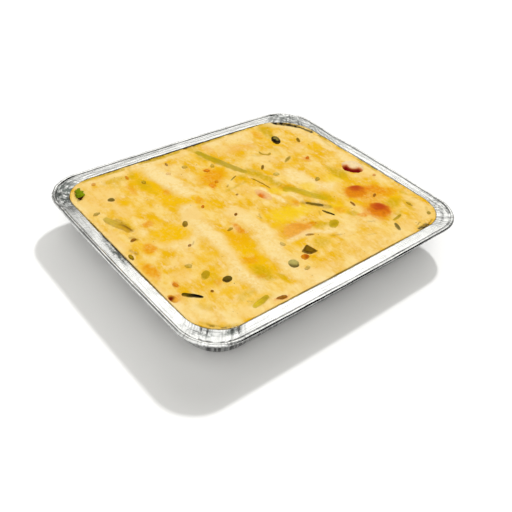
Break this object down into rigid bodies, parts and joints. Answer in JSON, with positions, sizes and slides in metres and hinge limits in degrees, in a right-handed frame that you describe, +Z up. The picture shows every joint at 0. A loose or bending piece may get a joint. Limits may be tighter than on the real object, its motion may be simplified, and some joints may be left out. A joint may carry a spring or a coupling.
{
  "type": "foil tray meal",
  "caption": "Shallow rectangular foil tray with a rolled rim, filled to the brim with a baked cream and vegetable dish with carrot, leek and bean pieces.",
  "frame": {"origin": "middle of the tray's flat base, on the surface that it stands on", "axes": "+X along the long sides, +Y along the short sides, +Z up"},
  "size_m": [0.324, 0.2678, 0.0452],
  "materials": {
    "foil": "bright crumpled foil",
    "sauce": "moist baked cream sauce",
    "carrot": "moist cooked carrot",
    "leek": "moist cooked leek",
    "green": "moist cooked pea and bean",
    "dark_green": "moist dark leaf",
    "fresh_green": "moist green leaf"
  },
  "bodies": {
    "root": {"tray": "foil", "tray_rim": "foil", "bake": "sauce", "carrot_slice_1": "carrot", "carrot_slice_2": "carrot", "carrot_slice_3": "carrot", "carrot_slice_4": "carrot", "carrot_slice_5": "carrot", "carrot_slice_6": "carrot", "carrot_cube_1": "carrot", "carrot_bit_1": "carrot", "leek_strip_1": "leek", "leek_strip_2": "leek", "leek_strip_3": "leek", "leek_strip_4": "green", "leek_piece_1": "leek", "leek_piece_2": "leek", "leek_ring_1": "green", "bean_pod_1": "leek", "bean_bit_1": "green", "herb_sprig_1": "dark_green", "herb_sprig_2": "dark_green", "herb_stalk_1": "dark_green", "herb_stalk_2": "dark_green", "dark_leaf_1": "dark_green", "dark_leaf_2": "dark_green", "dark_piece_1": "dark_green", "dark_sliver_1": "dark_green", "dark_sliver_2": "dark_green", "dark_sliver_3": "dark_green", "dark_sliver_4": "green", "dark_pea_1": "dark_green", "dark_pea_2": "dark_green", "pea_1": "green", "pea_2": "green", "pea_3": "green", "green_leaf_1": "fresh_green"}
  },
  "joints": []
}
